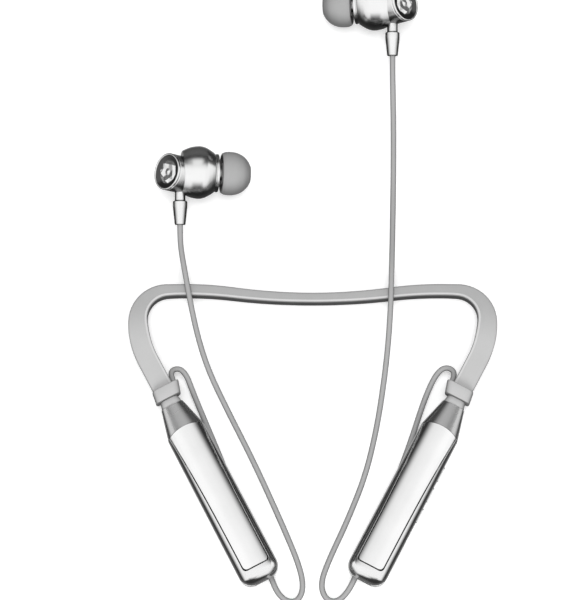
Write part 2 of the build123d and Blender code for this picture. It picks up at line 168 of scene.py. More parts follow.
# cable routes: y is from the nape, z from the table
cable_routes = {
    "left": [
        (-47.33, -29.89, 4.0), (-48.54, -27.59, 4.0),
        (-48.2, -25.3, 4.0), (-45.4, -24.7, 3.7), (-43.1, -27.2, 3.0),
        (-41.6, -31.2, 2.0), (-38.9, -37.8, 1.2), (-34.3, -48.6, 1.0),
        (-29.9, -59.3, 1.0), (-23.6, -74.6, 1.0), (-18.9, -85.7, 1.0),
        (-15.8, -92.6, 1.0), (-13.9, -97.2, 1.0), (-12.0, -101.6, 1.0),
        (-9.0, -104.4, 1.0), (-5.6, -104.5, 1.0), (-3.6, -101.6, 1.0),
        (-3.5, -97.2, 1.0), (-4.8, -92.3, 1.0), (-6.7, -87.1, 1.0),
        (-11.0, -77.0, 1.0), (-19.7, -57.6, 1.0), (-30.0, -37.2, 1.0),
        (-35.8, -25.0, 1.8), (-39.2, -14.6, 4.8), (-41.6, -4.2, 7.55),
        (-43.7, 7.4, 7.55), (-45.0, 14.6, 7.5),
        (-45.6, 19.82, 7.24), (-45.6, 24.77, 7.94)],
    "right": [
        (47.33, -29.89, 4.0), (48.54, -27.59, 4.0),
        (48.0, -25.2, 4.0), (45.2, -24.3, 3.7), (42.6, -26.3, 3.0),
        (40.2, -30.6, 2.0), (37.4, -37.6, 1.2), (33.9, -48.4, 1.0),
        (29.9, -59.3, 1.0), (23.6, -74.6, 1.0), (18.9, -85.7, 1.0),
        (15.8, -92.6, 1.0), (13.9, -97.2, 1.0), (11.6, -101.4, 1.0),
        (8.5, -104.4, 1.0), (5.2, -104.3, 1.0), (3.0, -101.2, 1.0),
        (3.0, -97.0, 1.0), (4.7, -92.3, 1.0), (6.9, -87.2, 1.0),
        (11.6, -77.2, 1.0), (18.0, -61.4, 1.0), (22.0, -44.6, 1.0),
        (24.5, -28.6, 1.4), (25.8, -17.2, 4.2), (26.6, -6.0, 7.55),
        (27.1, 7.0, 7.55), (27.5, 18.6, 4.6), (27.9, 31.6, 1.6),
        (28.2, 46.0, 1.0), (28.3, 59.6, 1.6), (28.1, 71.0, 4.6),
        (27.9, 80.22, 7.24), (27.9, 85.17, 7.94)],
}

arm_body = {"right": "root", "left": "left_arm"}
tip_body = {"right": "right_tip", "left": "left_tip"}


def add_object(name, data):
    """A new object in the scene."""
    thing = bpy.data.objects.new(name, data)
    bpy.context.scene.collection.objects.link(thing)
    return thing


# ---- camera ----------------------------------------------------------------------------
def make_camera():
    """The camera, high above the table and a little towards -Y, with +Y up in its picture."""
    data = bpy.data.cameras.new("camera")
    data.lens = camera_lens
    data.clip_start, data.clip_end = 0.05, 20.0
    camera = add_object("camera", data)
    elevation = radians(camera_elevation)
    back = Vector((0, -cos(elevation), sin(elevation)))
    camera.location = (Vector(camera_target) + back * camera_distance) * METRES
    camera.rotation_mode = "QUATERNION"
    camera.rotation_quaternion = (-back).to_track_quat("-Z", "Y")
    bpy.context.scene.camera = camera


# ---- node materials --------------------------------------------------------------------
class Nodes:
    """Short names for the nodes of one tree."""

    def __init__(self, tree):
        self.tree = tree

    def add(self, kind, inputs=None, **settings):
        """A node whose inputs are linked to sockets or set to values."""
        node = self.tree.nodes.new(kind)
        for name, value in settings.items():
            setattr(node, name, value)
        for name, value in (inputs or {}).items():
            if isinstance(value, bpy.types.NodeSocket):
                self.tree.links.new(value, node.inputs[name])
            else:
                node.inputs[name].default_value = value
        return node

    def math(self, operation, value, *others):
        """An operation on one value, or on several from left to right."""
        for other in others or (0.0,):
            value = self.add("ShaderNodeMath", {0: value, 1: other},
                             operation=operation).outputs[0]
        return value

    def ramp(self, value, start, end, low=0.0, high=1.0):
        """The value low up to start and high from end, smooth between them."""
        node = self.add("ShaderNodeMapRange", {0: value, 1: start, 2: end, 3: low, 4: high},
                        interpolation_type="SMOOTHSTEP")
        return node.outputs[0]

    def span(self, value, rise, fall):
        """1 between two soft edges and 0 beyond them."""
        return self.math("MULTIPLY", self.ramp(value, *rise), self.ramp(value, *fall, 1.0, 0.0))

    def mix(self, share, first, second):
        """A colour between two."""
        node = self.add("ShaderNodeMix", {0: share, 6: first, 7: second}, data_type="RGBA")
        return node.outputs[2]

    def noise(self, coordinates, size, detail=3.0, roughness=0.5):
        """Noise from 0 to 1 whose features are about that many millimetres across."""
        node = self.add("ShaderNodeTexNoise", {
            "Vector": coordinates, "Scale": 1.0 / (size * METRES), "Detail": detail,
            "Roughness": roughness})
        return node.outputs[0]


def clear_nodes(owner):
    """The emptied node tree of a material or a world."""
    owner.use_nodes = True
    owner.node_tree.nodes.clear()
    return Nodes(owner.node_tree)


def grey(value):
    """An RGBA grey, or a colour given as three values."""
    return (value, value, value, 1.0) if isinstance(value, float) else (*value, 1.0)


def make_material(name, tones, roughness, metallic=0.0, grain=0.3, grain_height=0.0,
                  mottle=9.0, sides=1.0, upright=(0.15, 0.85), arms=None, **shader):
    """A finish whose colour, roughness and relief vary with noise.

    tones and roughness are (low, high) pairs; grain and mottle are feature sizes in
    millimetres. sides paints shade: upright faces are darker than level ones by that factor,
    and upright is the pair of normal heights between which that changes. arms paints light:
    it is the share of white that the colour gains from the nape to the housings, where the
    band looks lighter.
    """
    material = bpy.data.materials.new(name)
    nodes = clear_nodes(material)
    place = nodes.add("ShaderNodeTexCoord").outputs["Object"]
    fine = nodes.noise(place, grain, 4.0)
    broad = nodes.noise(place, mottle, 2.0)
    share = nodes.ramp(nodes.math("ADD", fine, broad), 0.6, 1.4)
    tone = nodes.mix(share, grey(tones[0]), grey(tones[1]))
    # painted shade: the colour darkens towards upright faces, by the factor sides
    if sides < 1.0:
        normal = nodes.add("ShaderNodeNewGeometry").outputs["Normal"]
        level = nodes.add("ShaderNodeSeparateXYZ", {0: normal}).outputs[2]
        tone = nodes.mix(nodes.ramp(level, *upright), grey(tones[0] * sides), tone)
    # painted light: the colour lightens towards the housings, where the band looks lit
    if arms:
        along = nodes.add("ShaderNodeSeparateXYZ", {0: place}).outputs[1]
        share = nodes.ramp(along, *[edge * METRES for edge in arms_fade], 0.0, arms)
        tone = nodes.mix(share, tone, grey(1.0))
    inputs = {"Base Color": tone,
              "Roughness": nodes.ramp(broad, 0.3, 0.7, *roughness),
              "Metallic": metallic}
    if grain_height:
        inputs["Normal"] = nodes.add("ShaderNodeBump", {
            "Height": fine, "Strength": 1.0, "Distance": grain_height * METRES}).outputs[0]
    inputs.update({key.replace("_", " "): value for key, value in shader.items()})
    surface = nodes.add("ShaderNodeBsdfPrincipled", inputs)
    nodes.add("ShaderNodeOutputMaterial", {"Surface": surface.outputs[0]})
    return material


def make_mesh_material(name, pitch=0.4, relief=0.08):
    """Woven wire: dark holes in a fine steel grid, pitch millimetres apart."""
    material = bpy.data.materials.new(name)
    nodes = clear_nodes(material)
    place = nodes.add("ShaderNodeTexCoord").outputs["Object"]
    axes = nodes.add("ShaderNodeSeparateXYZ", {0: place}).outputs
    turns = 2 * pi / (pitch * METRES)
    waves = [nodes.math("SINE", nodes.math("MULTIPLY", axes[axis], turns))
             for axis in (1, 2)]
    weave = nodes.ramp(nodes.math("MAXIMUM", *waves), -0.2, 0.6)
    surface = nodes.add("ShaderNodeBsdfPrincipled", {
        "Base Color": nodes.mix(weave, grey(0.02), grey(0.5)), "Metallic": 1.0,
        "Roughness": nodes.ramp(weave, 0.0, 1.0, 0.8, 0.3),
        "Normal": nodes.add("ShaderNodeBump", {
            "Height": weave, "Strength": 1.0, "Distance": relief * METRES}).outputs[0]})
    nodes.add("ShaderNodeOutputMaterial", {"Surface": surface.outputs[0]})
    return material


# sides below paints shade on upright faces; arms paints light on the band's arms
finishes = {
    "band_silicone": dict(
        tones=(0.325, 0.36), roughness=(0.42, 0.5), grain=0.25, grain_height=0.012,
        sides=0.62, arms=0.16, Specular_IOR_Level=0.4, Sheen_Weight=0.08,
        Sheen_Roughness=0.5),
    # painted highlight: the lighter strip along the band's inner upper edge
    "band_lip": dict(
        tones=(0.5, 0.55), roughness=(0.35, 0.42), grain=0.25, grain_height=0.008),
    # painted shade: the dark liner stands in for the shade on the band's neck-facing wall
    "liner_silicone": dict(
        tones=(0.07, 0.1), roughness=(0.55, 0.65), grain=0.3, grain_height=0.015),
    "spring_steel": dict(
        tones=(0.45, 0.55), roughness=(0.3, 0.4), metallic=1.0, grain=0.2),
    "cable_jacket": dict(
        tones=(0.32, 0.355), roughness=(0.38, 0.46), grain=0.2, grain_height=0.008,
        mottle=14.0, sides=0.35, Specular_IOR_Level=0.45),
    "collar_plastic": dict(
        tones=(0.43, 0.47), roughness=(0.34, 0.42), grain=0.2, grain_height=0.008,
        sides=0.45, Specular_IOR_Level=0.45),
    "satin_metal": dict(
        tones=(0.6, 0.66), roughness=(0.24, 0.29), metallic=1.0, grain=0.12,
        grain_height=0.0008),
    "polished_metal": dict(
        tones=(0.84, 0.9), roughness=(0.14, 0.18), metallic=1.0, grain=0.15,
        grain_height=0.0006),
    "mirror_plate": dict(
        tones=(0.9, 0.95), roughness=(0.05, 0.08), metallic=1.0, grain=0.2,
        grain_height=0.0004),
    "bud_metal": dict(
        tones=(0.87, 0.94), roughness=(0.2, 0.25), metallic=1.0, grain=0.12,
        grain_height=0.001, sides=0.2),
    # a copy of bud_metal whose painted shade starts on steeper faces
    "boot_metal": dict(
        tones=(0.87, 0.94), roughness=(0.2, 0.25), metallic=1.0, grain=0.12,
        grain_height=0.001, sides=0.2, upright=(0.6, 0.97)),
    "driver_plastic": dict(
        tones=(0.02, 0.04), roughness=(0.45, 0.6), grain=0.2, grain_height=0.01),
    "magnet": dict(
        tones=(0.4, 0.5), roughness=(0.2, 0.35), metallic=1.0, grain=0.3),
    "diaphragm_film": dict(
        tones=((0.5, 0.44, 0.32), (0.6, 0.54, 0.4)), roughness=(0.2, 0.3), grain=0.5),
    "dark_gloss": dict(
        tones=(0.012, 0.02), roughness=(0.08, 0.14), grain=0.3, Coat_Weight=0.6,
        Coat_Roughness=0.05),
    # partly painted highlight: polished metal with a lighter diffuse share, so the facets look
    # lit
    "bright_facets": dict(
        tones=(0.8, 0.88), roughness=(0.1, 0.15), metallic=0.85, grain=0.3,
        Coat_Weight=0.5, Coat_Roughness=0.05),
    "tip_silicone": dict(
        tones=(0.32, 0.36), roughness=(0.5, 0.6), grain=0.25, grain_height=0.01,
        sides=0.65, Specular_IOR_Level=0.35, Sheen_Weight=0.15, Sheen_Roughness=0.4),
    "connector_steel": dict(
        tones=(0.5, 0.6), roughness=(0.25, 0.35), metallic=1.0, grain=0.15),
    "circuit_board": dict(
        tones=((0.01, 0.06, 0.03), (0.02, 0.1, 0.05)), roughness=(0.35, 0.5), grain=0.6),
    "switch_plastic": dict(
        tones=(0.02, 0.035), roughness=(0.4, 0.5), grain=0.2, grain_height=0.008),
    "clear_plastic": dict(
        tones=(0.75, 0.85), roughness=(0.05, 0.1), grain=0.5, Transmission_Weight=0.8),
    "battery_wrap": dict(
        tones=(0.35, 0.45), roughness=(0.25, 0.4), metallic=0.6, grain=0.8,
        grain_height=0.02),
    "foam": dict(
        tones=(0.01, 0.025), roughness=(0.85, 0.95), grain=0.25, grain_height=0.05),
    "flap_silicone": dict(
        tones=(0.3, 0.36), roughness=(0.45, 0.55), grain=0.25, grain_height=0.01),
}


# ---- mesh helpers ----------------------------------------------------------------------
def add_piece(name, vertices, faces, finish, slot=None):
    """A smooth-shaded mesh object from points in millimetres. Its faces point outwards."""
    mesh = bpy.data.meshes.new(name)
    mesh.from_pydata([Vector(point) * METRES for point in vertices], [], faces)
    work = bmesh.new()
    work.from_mesh(mesh)
    bmesh.ops.recalc_face_normals(work, faces=work.faces)
    work.to_mesh(mesh)
    work.free()
    mesh.shade_smooth()
    mesh.set_sharp_from_angle(angle=radians(38))
    piece = add_object(name, mesh)
    mesh.materials.append(materials[finish])
    return piece


def skin(rings, loop=False):
    """Vertices and faces of a tube through rings of points, closed at its ends."""
    count = len(rings[0])
    vertices = [point for ring in rings for point in ring]
    rows = len(rings) if loop else len(rings) - 1
    faces = []
    for row in range(rows):
        below, above = row * count, (row + 1) % len(rings) * count
        faces += [(below + k, below + (k + 1) % count, above + (k + 1) % count, above + k)
                  for k in range(count)]
    if not loop:
        last = len(vertices) - count
        faces.append(tuple(reversed(range(count))))
        faces.append(tuple(range(last, last + count)))
    return vertices, faces


def smooth(value, start, end):
    """0 before start, 1 after end, with a smooth change between them."""
    share = min(max((value - start) / (end - start), 0.0), 1.0)
    return share * share * (3 - 2 * share)


def between(first, second, share):
    """A value part of the way from one to another."""
    return first + (second - first) * share


def rounded_outline(width, height, radius, steps=6):
    """Points round a rounded rectangle about the origin."""
    points = []
    for corner, (side_x, side_y) in enumerate(((1, 1), (-1, 1), (-1, -1), (1, -1))):
        for step in range(steps + 1):
            angle = radians(90 * (corner + step / steps))
            points.append((side_x * (width / 2 - radius) + radius * cos(angle),
                           side_y * (height / 2 - radius) + radius * sin(angle)))
    return points


def spline_points(points, steps=6):
    """Points along a smooth curve through the given ones."""
    padded = [points[0], *points, points[-1]]
    curve = []
    for a, b, c, d in zip(padded, padded[1:], padded[2:], padded[3:]):
        for step in range(steps):
            t = step / steps
            curve.append(tuple(
                0.5 * (2 * q + (r - p) * t + (2 * p - 5 * q + 4 * r - s) * t ** 2
                       + (3 * q - p - 3 * r + s) * t ** 3)
                for p, q, r, s in zip(a, b, c, d)))
    return curve + [points[-1]]


def round_corners(points, radius, steps=4, loop=False):
    """The same outline with its corners rounded, each by at most that radius."""
    count = len(points)
    rounded = []
    for index, point in enumerate(points):
        if not loop and index in (0, count - 1):
            rounded.append(point)
            continue
        corner = Vector(point)
        before = Vector(points[index - 1]) - corner
        after = Vector(points[(index + 1) % count]) - corner
        reach = min(radius, 0.45 * before.length, 0.45 * after.length)
        start = corner + before.normalized() * reach
        end = corner + after.normalized() * reach
        for step in range(steps + 1):
            t = step / steps
            rounded.append(tuple(start * (1 - t) ** 2 + corner * 2 * t * (1 - t)
                                 + end * t ** 2))
    return rounded


def lathe(profile, origin, axis, steps=80, loop=False):
    """A solid turned about an axis from (along, radius) points off the axis."""
    axis = Vector(axis).normalized()
    side = axis.orthogonal().normalized()
    other = axis.cross(side)
    rings = []
    for along, radius in profile:
        centre = Vector(origin) + axis * along
        rings.append([centre + (side * cos(2 * pi * k / steps)
                                + other * sin(2 * pi * k / steps)) * radius
                      for k in range(steps)])
    return skin(rings, loop)


def mirrored(points):
    """The same points on the other side of the plane x = 0."""
    return [Vector((-point[0], point[1], point[2])) for point in points]


# ---- cables ----------------------------------------------------------------------------
def make_cable(side):
    """One earbud cable: a round jacket along a smooth line through the route's bends."""
    route = cable_routes[side]
    curve = bpy.data.curves.new(f"earbud_cable_{side}", "CURVE")
    curve.dimensions = "3D"
    curve.bevel_depth = cable_diameter / 2 * METRES
    curve.bevel_resolution = 6
    curve.resolution_u = 16
    curve.use_fill_caps = True
    spline = curve.splines.new("NURBS")
    spline.points.add(len(route) - 1)
    for point, (x, y, z) in zip(spline.points, route):
        point.co = (x * METRES, (y + nape_y) * METRES, z * METRES, 1.0)
    spline.order_u = 3
    spline.use_endpoint_u = True
    cable = add_object(f"earbud_cable_{side}", curve)
    curve.materials.append(materials["cable_jacket"])
    x, y, z = route[0]
    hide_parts(f"cable_{side}")
    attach(cable, arm_body[side])


# ---- band ------------------------------------------------------------------------------
def band_point(distance):
    """Plan position and heading on the right half's centre line, from the nape."""
    x, y, heading = 0.0, nape_y - centre_line_drop, 0.0
    for radius, turn in band_arcs:
        step = min(distance, radius * radians(abs(turn)))
        side = copysign(radius, turn)
        turned = heading + step / side
        x += side * (sin(turned) - sin(heading))
        y -= side * (cos(turned) - cos(heading))
        heading = turned
        distance -= step
    return x + distance * cos(heading), y + distance * sin(heading), heading


arcs_length = sum(radius * radians(abs(turn)) for radius, turn in band_arcs)
shoulder_distance = arcs_length + straight_to_shoulder
band_end = shoulder_distance + strap_seat
shoulder_x, shoulder_y, housing_heading = band_point(shoulder_distance)
along_axis = Vector((cos(housing_heading), sin(housing_heading), 0))
across_axis = Vector((-sin(housing_heading), cos(housing_heading), 0))


def strap_size(distance):
    """Width, height and middle height of the strap, upright at the nape, flat at the arms."""
    width = (nape_width + side_gain * smooth(distance, 0, gain_end)
             + arm_gain * smooth(distance, widen_start, widen_end))
    flat = smooth(distance, flatten_start, flatten_end)
    return (width, between(nape_height, arm_height, flat),
            between(nape_height / 2, mid_height, flat))


def band_ring(distance, section):
    """A section of the right half, carried to a distance from the nape."""
    x, y, heading = band_point(distance)
    width, height, middle = strap_size(distance)
    across = Vector((-sin(heading), cos(heading), 0))
    return [Vector((x, y, middle + v)) + across * u for u, v in section(width, height)]


def add_band_piece(name, section, finish, node=None, slot=None):
    """One continuous strip from collar to collar."""
    count = round(band_end / ring_spacing)
    right = [band_ring(band_end * index / count, section) for index in range(count + 1)]
    left = [mirrored(ring) for ring in reversed(right[1:])]
    piece = add_piece(name, *skin(left + right), finish, slot)
    if node:
        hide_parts(*[f"{node}_{side}" for side in arm_body])
    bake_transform(piece)


def moved(outline, u, v):
    """The same outline shifted across and up."""
    return [(a + u, b + v) for a, b in outline]


def sleeve_section(width, height):
    """The strap's outline with the shallow channel of its liner in the inner wall."""
    outline = rounded_outline(width, height, strap_edge)
    per_corner = len(outline) // 4
    wall, floor = -width / 2, liner_depth - width / 2
    edge = height / 2 - liner_margin + liner_side_gap
    channel = [(wall, edge), (floor, edge), (floor, -edge), (wall, -edge)]
    return outline[:2 * per_corner] + channel + outline[2 * per_corner:]


def painted_shade_liner_section(width, height):
    """The strip in that channel, painted dark as the shade on the strap's inner wall."""
    thickness = liner_depth - liner_back_gap
    outline = rounded_outline(thickness, height - 2 * liner_margin, liner_edge, 3)
    return moved(outline, (thickness - width) / 2, 0.0)


def highlight_strip_section(width, height):
    """A thin lighter strip along the inner upper edge: a painted highlight of that edge."""
    outline = rounded_outline(highlight_strip_width, highlight_strip_height, highlight_strip_edge, 3)
    return moved(outline, (highlight_strip_width - width) / 2 + highlight_strip_inset,
                 (height - highlight_strip_height) / 2 + highlight_strip_rise)


def spring_section(width, height):
    """The upright flat spring."""
    outline = rounded_outline(spring_thickness, spring_height, spring_edge, 2)
    return moved(outline, spring_across, 0.0)


def link_section(width, height):
    """The round link cable beside the spring."""
    outline = rounded_outline(link_diameter, link_diameter, link_diameter / 2, 3)
    return moved(outline, link_across, 0.0)


def make_band():
    """Sleeve, a painted-highlight strip, skin-side liner painted dark as shade, flat spring,
    link cable.
    """
    add_band_piece("sleeve", sleeve_section, "band_silicone", "band_sleeve")
    # painted highlight of the inner upper edge
    add_band_piece("sleeve_highlight_strip", highlight_strip_section, "band_lip", slot="band_silicone")
    # the liner is painted dark as shade
    add_band_piece("liner", painted_shade_liner_section, "liner_silicone", "band_liner")
    add_band_piece("flat_spring", spring_section, "spring_steel", "band_spring")
    add_band_piece("link_cable", link_section, "cable_jacket", "band_link_cable")


# ---- housings --------------------------------------------------------------------------
nose_end = bar_end - tip_round * (1 - sin(radians(tip_last_angle)))


def housing_point(along, across, height):
    """From the right housing's own axes to the table's."""
    return (Vector((shoulder_x, shoulder_y, height)) + along_axis * along
            + across_axis * across)


def add_sided(name, vertices, faces, finish, node):
    """A right-hand piece and its mirror image, each on its arm, standing for its node."""
    pieces = {}
    for side, body in arm_body.items():
        points = vertices if side == "right" else mirrored(vertices)
        piece = add_piece(f"{name}_{side}", points, faces, finish)
        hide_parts(f"{node}_{side}")
        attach(piece, body)
        pieces[side] = piece
    return pieces


def edge_steps(start, end, edge, count=3):
    """(along, inset) of the rings that round both ends of a body."""
    angles = [radians(90 * step / count) for step in range(count + 1)]
    opening = [(start + edge * (1 - cos(a)), edge * (1 - sin(a))) for a in angles]
    return opening + [(start + end - along, inset) for along, inset in reversed(opening)]


def add_sleeve_body(name, start, end, ends, edge, node):
    """A body along the housing's axis between two rounded sections."""
    rings = []
    for along, inset in edge_steps(start, end, edge):
        share = (along - start) / (end - start)
        width, height, radius, across = (between(a, b, share) for a, b in zip(*ends))
        outline = rounded_outline(width - 2 * inset, height - 2 * inset, radius - inset)
        rings.append([housing_point(along, across + u, mid_height + v) for u, v in outline])
    add_sided(name, *skin(rings), "collar_plastic", node)


def shoulder_line(across):
    """Where the cone meets the bar: an arc that bows towards the neck."""
    reach = shoulder_half_width
    radius = (reach ** 2 + shoulder_bow ** 2) / (2 * shoulder_bow)
    return radius - shoulder_bow - sqrt(radius ** 2 - min(abs(across), reach) ** 2)


def bar_half_width(along):
    """Half the bar's width, drawn in at its rounded tip."""
    width = between(shoulder_half_width, tip_half_width,
                    min(along / (bar_end - tip_round), 1.0))
    reach = max(along - (bar_end - tip_round), 0.0) / tip_round
    return width - tip_round * (1 - sqrt(1 - min(reach, 1.0) ** 2))


def bar_half_height(along):
    """Half the bar's height, falling to a rounded nose at its tip."""
    reach = max(along - nose_start, 0.0) / (nose_end - nose_start)
    return mid_height * max(1 - min(reach, 1.0) ** nose_power, 0.0) ** (1 / nose_power)


def bar_top(along, across):
    """Point on the bar's upper surface above a place in plan."""
    share = min(abs(across) / bar_half_width(along), 1.0)
    rise = (1 - share ** section_power) ** (1 / section_power)
    return housing_point(along, across, mid_height + bar_half_height(along) * rise)


def plate_half(along):
    """Half the plate's width, which narrows quickly below the shoulder."""
    return between(plate_end_half, plate_top_half, (1 - along / plate_end) ** 3)


def plate_edge(gap, side_steps=56, corner_steps=6, end_steps=14):
    """The plate's edge in plan, drawn in by a gap: (along, across, share of the tip passed).

    It runs from the shoulder down the outer side, round the tip's end and back. The share is
    None on the two sides.
    """
    end = plate_end - gap
    turn_start = end - plate_corner
    half_end = plate_half(end) - gap
    tip = []
    for step in range(corner_steps + 1):
        angle = radians(90 * step / corner_steps)
        tip.append((turn_start + plate_corner * sin(angle),
                    half_end - plate_corner * (1 - cos(angle))))
    flat = half_end - plate_corner
    tip += [(end, flat - 2 * flat * step / end_steps) for step in range(1, end_steps)]
    tip += [(along, -across) for along, across in reversed(tip[:corner_steps + 1])]
    length = [0.0]
    for (a, b), (c, d) in zip(tip, tip[1:]):
        length.append(length[-1] + hypot(c - a, d - b))
    side = []
    for step in range(side_steps):
        share = step / side_steps
        across = plate_half(turn_start * share) - gap
        side.append((between(shoulder_line(across), turn_start, share), across))
    outer = [(along, across, None) for along, across in side]
    middle = [(along, across, passed / length[-1])
              for (along, across), passed in zip(tip, length)]
    inner = [(along, -across, None) for along, across in reversed(side)]
    return outer + middle + inner


def tip_rim(share):
    """The bar's edge in plan round its tip, from the outer flank over to the inner one."""
    start = plate_end - plate_corner
    straight = bar_end - tip_round - start
    arc = tip_round * radians(tip_last_angle)
    half_flat = tip_half_width - tip_round * (1 - cos(radians(tip_last_angle)))
    side = 1.0 if share <= 0.5 else -1.0
    passed = min(share, 1 - share) * 2 * (straight + arc + half_flat)
    if passed < straight:
        return start + passed, side * bar_half_width(start + passed)
    if passed < straight + arc:
        along = bar_end - tip_round + tip_round * sin((passed - straight) / tip_round)
        return along, side * bar_half_width(along)
    return nose_end, side * (half_flat - (passed - straight - arc))


def rim_point(along, across, share):
    """The place on the bar's edge that lies beside a place on the plate's edge."""
    if share is None:
        start = shoulder_line(shoulder_half_width)
        turn_start = plate_end - plate_corner
        local = shoulder_line(across)
        passed = (along - local) / (turn_start - local)
        place = between(start, turn_start, passed)
        return place, copysign(bar_half_width(place), across)
    return tip_rim(share)


def patch_faces(columns, rows):
    """Quads of a grid whose points are listed row by row along each column."""
    return [(c * rows + r, c * rows + r + 1, (c + 1) * rows + r + 1, (c + 1) * rows + r)
            for c in range(columns - 1) for r in range(rows - 1)]


def add_patch(name, vertices, faces, thickness, edge, finish, node):
    """A thin metal part under a curved outer surface, with softened edges."""
    pieces = add_sided(name, vertices, faces, finish, node)
    for piece in pieces.values():
        mesh = piece.data
        work = bmesh.new()
        work.from_mesh(mesh)
        bmesh.ops.remove_doubles(work, verts=work.verts, dist=1e-6)
        bmesh.ops.recalc_face_normals(work, faces=work.faces)
        if sum(face.normal.z for face in work.faces) < 0:
            bmesh.ops.reverse_faces(work, faces=work.faces)
        work.to_mesh(mesh)
        work.free()
        mesh.shade_smooth()
        body = piece.modifiers.new("thickness", "SOLIDIFY")
        body.thickness = thickness * METRES
        body.offset = -1.0
        body.use_even_offset = True
        rounding = piece.modifiers.new("edges", "BEVEL")
        rounding.width = edge * METRES
        rounding.segments = 3
        rounding.limit_method = "ANGLE"
        rounding.angle_limit = radians(50)
        rounding.harden_normals = True
    return pieces


def make_plate():
    """The bright inlay plate, crowned with the bar."""
    edge = plate_edge(plate_gap)
    rows = 13
    turn_start = plate_end - plate_gap - plate_corner
    vertices = []
    for along, across, share in edge:
        local = shoulder_line(across)
        passed = 1.0 if share is not None else (along - local) / (turn_start - local)
        for row in range(rows):
            step = row / (rows - 1)
            side = across * (1 - step)
            if share is None:
                place = between(shoulder_line(side), turn_start, passed)
            else:
                place = between(along, turn_start, step)
            # towards the middle the rows draw back from the tip, and fan out round it
            vertices.append(bar_top(place - plate_corner * step * passed, side))
    add_patch("bright_plate", vertices, patch_faces(len(edge), rows), plate_thickness,
              plate_rounding, "mirror_plate", "inlay_plate")


def make_upper_shell():
    """The polished frame round the plate: the flanks and the nose of the bar."""
    edge = plate_edge(0.0)
    rows = 11
    vertices = []
    for along, across, share in edge:
        rim = rim_point(along, across, share)
        for row in range(rows):
            step = sin(radians(90) * row / (rows - 1))
            vertices.append(bar_top(between(along, rim[0], step),
                                    between(across, rim[1], step)))
    add_patch("bar_frame", vertices, patch_faces(len(edge), rows), shell_thickness,
              shell_rounding, "polished_metal", "upper_shell")


def cone_ring(half_width, half_height, share, steps=72):
    """A rounded section of the cone, a share of the way from the neck to the shoulder."""
    ring = []
    for step in range(steps):
        angle = 2 * pi * step / steps
        side = copysign(abs(cos(angle)) ** (2 / section_power), cos(angle))
        rise = copysign(abs(sin(angle)) ** (2 / section_power), sin(angle))
        end = shoulder_line(shoulder_half_width * side) - cone_gap
        ring.append(housing_point(between(ferrule_base, end, share), half_width * side,
                                  mid_height + half_height * rise))
    return ring


def make_cone():
    """The satin cone between the neck and the bar's curved shoulder."""
    rows = 12
    rings = [cone_ring(neck_half_width - cone_edge, neck_half_height - cone_edge, 0.0)]
    for row in range(rows + 1):
        share = row / rows
        rings.append(cone_ring(between(neck_half_width, shoulder_half_width, share),
                               between(neck_half_height, mid_height, share), share))
    add_sided("satin_cone", *skin(rings), "satin_metal", "housing_cone")


def make_housings():
    """Collars, ferrules, cones, bar frames and plates."""
    add_sleeve_body("collar", collar_top, collar_base, collar_ends, collar_edge,
                    "strap_collar")
    add_sleeve_body("ferrule", collar_base, ferrule_base, ferrule_ends, ferrule_edge,
                    "neck_ferrule")
    make_cone()
    make_upper_shell()
    make_plate()


# ---- earbuds ---------------------------------------------------------------------------
barrel_middle = Vector((0, 0, 0))
bud_axis = Vector((cos(radians(bud_tilt)), 0, -sin(radians(bud_tilt))))
cap_origin = Vector(cap_face)
cap_axis = Vector((-cos(radians(cap_angle)), 0, sin(radians(cap_angle))))


def add_bud_piece(side, name, vertices, faces, finish, node=None, body=None, slot=None):
    """One piece of an earbud, drawn with the tip towards +X and put in its place."""
    x, y = bud_places[side]
    facing = 1 if side == "left" else -1
    points = [(x + facing * p[0], y + nape_y + p[1], bud_height + p[2]) for p in vertices]
    piece = add_piece(f"{name}_{side}", points, faces, finish, slot)
    if node:
        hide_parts(f"{node}_{side}")
    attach(piece, body or arm_body[side])
    return piece


def facet_ring(radii, depths, offset=0.0):
    """Points round the cap's face, their radii and depths taken in turn."""
    side = Vector((0, 1, 0))
    other = cap_axis.cross(side)
    ring = []
    for k in range(facet_count):
        angle = 2 * pi * (k + offset) / facet_count
        spoke = side * cos(angle) + other * sin(angle)
        ring.append(cap_origin + spoke * radii[k % len(radii)]
                    - cap_axis * depths[k % len(depths)])
    return ring


def make_facets():
    """A shallow cut-stone pattern: a ring of raised points between two rings of valleys."""
    count = facet_count
    rim = facet_ring([facet_radius], [0.75])
    peaks = facet_ring([facet_radius * 0.78, facet_radius * 0.62], [0.3, 0.5], 0.5)
    valleys = facet_ring([facet_radius * 0.3], [0.62])
    base = facet_ring([facet_radius], [0.88])
    centre = cap_origin - cap_axis * 0.3
    vertices = rim + peaks + valleys + base + [centre]
    faces = []
    for k in range(count):
        after = (k + 1) % count
        faces += [(k, after, count + k), (k + count, after, after + count),
                  (count + k, count + after, 2 * count + after),
                  (count + k, 2 * count + after, 2 * count + k),
                  (2 * count + k, 2 * count + after, 4 * count),
                  (k, 3 * count + k, 3 * count + after, after)]
    faces.append(tuple(3 * count + k for k in range(count)))
    return vertices, faces


